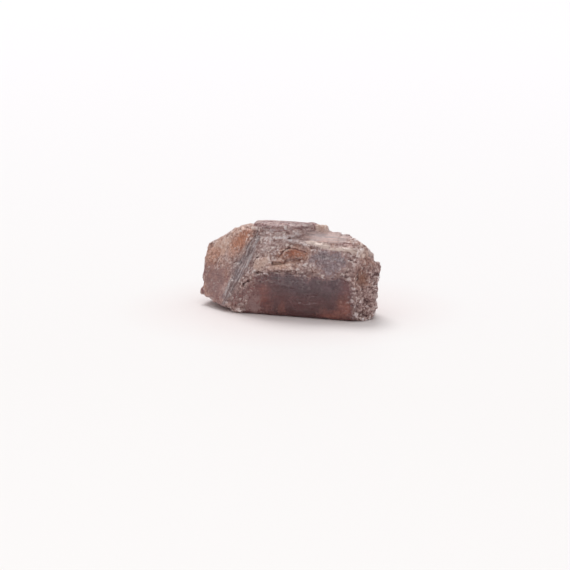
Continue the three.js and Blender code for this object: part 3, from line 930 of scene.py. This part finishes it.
def crystal_colour(n, finish, rubble):
    """The whole colour: smooth and broken ground, then painted highlight lines, painted shade in grooves,
    stains and painted glow, cracks and glints over both.
    """
    mosaic = mosaic_colour(n, finish)
    base = n.mix(n.span(rubble, 0.0, 1.0, 0.22, 1.0), smooth_colour(n, finish), mosaic)

    # a grey band with painted highlight lines down it, painted highlight lines and painted shade in the
    # grooves under the top
    banded = n.ragged("band", 1.2)
    base = n.mix(n.times(banded, n.span(n.slant, 0.40, 0.50, 0.8, 0.35)), base, finish.silver * 0.5)
    lines = n.times(n.span(n.slant, 0.50, 0.60), n.span(n.crumbs, 0.4, 0.6, 0.3, 1.0))
    base = n.mix(n.times(banded, lines, 0.95), base, finish.silver_line)
    rippled = n.ragged("rippled")
    lines = n.times(n.span(n.striae, 0.52, 0.60), n.span(n.speckle, 0.35, 0.6))
    base = n.mix(n.times(rippled, lines, 0.7), base, finish.silver_line)
    base = n.mix(n.times(rippled, n.span(n.striae, 0.40, 0.48, 1.0, 0.0), 0.45), base, finish.gap)

    # amber stains and painted glow, pale edges and the painted highlight on the crests, the brown window at
    # the right end and cracks
    stained = n.tinted(mosaic, (1.2, 0.85, 0.62))
    stained = n.mix(n.span(n.speckle, 0.35, 0.65, 0.3, 0.82), finish.amber, stained)
    base = n.mix(n.times(n.ragged("amber", 1.3, 0.35), 0.85), base, stained)
    base = n.mix(n.times(n.ragged("pale", 2.4), n.span(n.crumbs, 0.3, 0.6, 0.2, 0.55)), base, finish.pale)
    window = n.times(n.ragged("right_window", 1.2), n.span(n.speckle, 0.35, 0.6, 0.7, 0.35))
    base = n.mix(window, base, finish.amber * 0.3)
    cracked = n.times(n.span(n.value("crack"), 0.2, 0.9, 0.0, 0.7), n.span(n.mottle, 0.38, 0.55, 0.25, 1.0))
    base = n.mix(cracked, base, finish.gap)

    # the brightest grains mirror the light, and so do the crests
    fleck = n.times(n.span(n.spark_tone, 0.82, 0.85), n.span(n.speckle, 0.44, 0.56))
    fleck = n.times(fleck, n.span(n.value("right_end"), 0.0, 1.0, 1.0, 0.6))
    fleck = n.times(fleck, n.span(n.plus(n.value("grit"), n.value("deep"), -0.6), -0.3, 1.0, 0.0, 0.85))
    base = n.mix(fleck, base, finish.glint)
    crest = n.span(n.plus(n.value("crest"), n.frayed, 1.0), 0.35, 0.9, 0.0, 0.75)
    return n.mix(crest, base, n.mix(0.5, finish.glint, finish.pale))


def crystal_roughness(n, rubble):
    """Glossier on smooth faces, duller on worn edges and under the light."""
    grains = n.times(n.span(rubble, 0.0, 1.0, 0.2, 1.0), n.span(n.speckle, 0.3, 0.7, -0.05, 0.12))
    rough = n.math("ADD", n.span(rubble, 0.0, 1.0, 0.22, 0.30), grains)
    rough = n.plus(rough, n.value("wear"), 0.1)
    return n.plus(rough, n.ragged("sheen"), 0.3, clamp=True)


def crystal_bump(n, rubble):
    """The grain that is finer than the mesh: crumbs, and the tilted faces of small grains, in millimetres."""
    height = n.times(n.crumbs, 0.03)
    for given, weight in ((n.speckle, 0.05), (n.cell_tilt, 0.4), (n.spark_tilt, 0.32)):
        height = n.plus(height, given, weight)
    height = n.times(height, n.span(n.times(rubble, n.value("grit")), 0.0, 1.0, 0.15, 1.0))
    height = n.times(height, n.span(n.ragged("wall"), 0.0, 1.0, 1.0, 0.35))
    return n.add("Bump", {"Strength": 1.0, "Distance": MM, "Height": height}).outputs[0]


def clear_share(n, finish):
    """How much light enters the stone: most on smooth faces, less where they carry stains, painted glow, grey
    sheen, pale or mauve colour.
    """
    faint = n.span(n.mottle, 0.3, 0.7, 0.0, 0.16)
    clear = n.plus(faint, n.ragged("clear", 1.6, 0.3), finish.clarity, clamp=True)
    covered = n.times(n.ragged("ember", 1.3, 0.26), 0.7)
    for name in ("silver", "amber", "pale", "mauve"):
        covered = n.math("MAXIMUM", covered, n.ragged(name))
    return n.plus(clear, covered, -0.45, clamp=True)


def stone(n, finish, base, rough, bump, clarity):
    """The shader of solid stone at clarity 0, of clear stone at 1."""
    return n.add("BsdfPrincipled", {
        "Base Color": base, "Roughness": rough, "Normal": bump, "IOR": finish.bend,
        "Specular IOR Level": finish.gloss, "Transmission Weight": clarity,
    }).outputs[0]


def crystal_finish(finish):
    """Clear stone shows its dark inside, broken ground shows its own colour."""
    material = bpy.data.materials.new("enstatite")
    material.use_nodes = True
    tree = material.node_tree
    tree.nodes.clear()
    n = CrystalNodes(tree)
    rubble = n.math("SUBTRACT", 1.0, n.ragged("calm", 2.4, 0.2))
    surface = crystal_colour(n, finish, rubble), crystal_roughness(n, rubble), crystal_bump(n, rubble)
    solid, clear = stone(n, finish, *surface, 0.0), stone(n, finish, *surface, 1.0)
    both = n.add("MixShader", {0: clear_share(n, finish), 1: solid, 2: clear})
    dim = n.add("VolumeAbsorption", {"Color": finish.inside, "Density": finish.density})
    n.add("OutputMaterial", {"Surface": both.outputs[0], "Volume": dim.outputs[0]})
    return material


def floor_finish(studio):
    """A pale floor with painted light: paler far behind the crystal and a little rosy near it."""
    material = bpy.data.materials.new("pale_floor")
    material.use_nodes = True
    n = Nodes(material.node_tree)
    where = n.where()
    plain = n.mix(n.span(n.part(where, 1), *FLOOR_FADE), studio.floor, studio.far_floor)
    near = n.span(n.vector("LENGTH", where)["Value"], *ROSY_REACH)
    skin = material.node_tree.nodes["Principled BSDF"].inputs
    n.give(n.mix(near, plain, studio.rosy_floor), skin["Base Color"])
    skin["Roughness"].default_value = 0.5
    skin["Specular IOR Level"].default_value = 0.15
    return material


def surround_finish(studio):
    """A white surround, dim near the floor and bright overhead."""
    world = bpy.data.worlds.new("white_surround")
    world.use_nodes = True
    n = Nodes(world.node_tree)
    upward = n.part(n.add("TexCoord", {}).outputs["Generated"], 2)
    surround = world.node_tree.nodes["Background"].inputs
    surround["Color"].default_value = (1, 1, 1, 1)
    n.give(n.span(upward, 0.0, 1.0, studio.low_sky, studio.high_sky), surround["Strength"])
    return world


# ---- operators


class CRYSTAL_OT_grow(bpy.types.Operator):
    """Grow the crystal's broken surface over its solid"""

    bl_idname = "crystal.grow"
    bl_label = "Crystal"

    def execute(self, context):
        shape = context.scene.crystal_shape
        skin, quads, marks = crystal_surface(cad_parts["crystal"], shape)
        if len(quads) * 2 >= MOST_TRIANGLES:
            raise RuntimeError(f"the crystal has {len(quads) * 2} triangles: make the detail coarser")
        piece = mesh_piece("enstatite_crystal", skin, quads)
        material = crystal_finish(context.scene.crystal_finish)
        for name in stored_values(material):
            keep(piece, name, marks[name])
        piece.data.shade_smooth()
        piece.data.materials.append(material)
        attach(piece, "root")
        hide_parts("crystal")
        return {"FINISHED"}


def floor_piece(studio):
    mesh = bpy.data.meshes.new("floor")
    low, high = -FLOOR_HALF, FLOOR_HALF
    mesh.from_pydata([(low, low, 0), (high, low, 0), (high, high, 0), (low, high, 0)], [], [(0, 1, 2, 3)])
    mesh.materials.append(floor_finish(studio))
    floor = placed("floor", mesh)
    floor.location.z = -FLOOR_GAP
    return floor


def key_light(studio):
    key = bpy.data.lights.new("soft_key_light", "SUN")
    key.energy = studio.key
    key.angle = studio.key_spread
    lamp = placed("soft_key_light", key)
    lamp.location = KEY_PLACE
    lamp.rotation_euler = (-lamp.location).to_track_quat("-Z", "Y").to_euler()


def view_camera(studio):
    camera = placed("camera", bpy.data.cameras.new("camera"))
    camera.data.sensor_width = 36
    camera.data.lens = studio.lens
    camera.data.clip_start, camera.data.clip_end = 0.01, 20
    back = Vector((
        math.sin(studio.turn) * math.cos(studio.rise),
        -math.cos(studio.turn) * math.cos(studio.rise),
        math.sin(studio.rise),
    ))
    camera.location = Vector(AIM) * MM + back * studio.distance
    camera.rotation_euler = (-back).to_track_quat("-Z", "Y").to_euler()
    return camera


class CRYSTAL_OT_studio(bpy.types.Operator):
    """Lay the floor and set the lights and the camera"""

    bl_idname = "crystal.studio"
    bl_label = "Studio"

    def execute(self, context):
        studio = context.scene.crystal_studio
        floor_piece(studio)
        key_light(studio)
        context.scene.world = surround_finish(studio)
        context.scene.camera = view_camera(studio)
        context.scene.view_settings.view_transform = "Standard"
        return {"FINISHED"}


class CRYSTAL_PT_panel(bpy.types.Panel):
    """Crystal tools"""

    bl_idname = "CRYSTAL_PT_panel"
    bl_label = "Crystal"
    bl_space_type = "VIEW_3D"
    bl_region_type = "UI"
    bl_category = "Crystal"

    def draw(self, context):
        for group, operator in (
            (context.scene.crystal_shape, CRYSTAL_OT_grow),
            (context.scene.crystal_finish, None),
            (context.scene.crystal_studio, CRYSTAL_OT_studio),
        ):
            box = self.layout.box()
            for name in group.bl_rna.properties.keys():
                if name not in ("rna_type", "name"):
                    box.prop(group, name)
            if operator:
                box.operator(operator.bl_idname)


CLASSES = (CrystalShape, CrystalFinish, StudioSettings, CRYSTAL_OT_grow, CRYSTAL_OT_studio, CRYSTAL_PT_panel)


def register():
    for kind in CLASSES:
        bpy.utils.register_class(kind)
    bpy.types.Scene.crystal_shape = PointerProperty(type=CrystalShape)
    bpy.types.Scene.crystal_finish = PointerProperty(type=CrystalFinish)
    bpy.types.Scene.crystal_studio = PointerProperty(type=StudioSettings)


def unregister():
    del bpy.types.Scene.crystal_studio
    del bpy.types.Scene.crystal_finish
    del bpy.types.Scene.crystal_shape
    for kind in reversed(CLASSES):
        bpy.utils.unregister_class(kind)


def main():
    register()
    bpy.ops.crystal.studio()
    bpy.ops.crystal.grow()


if __name__ == "__main__":
    main()
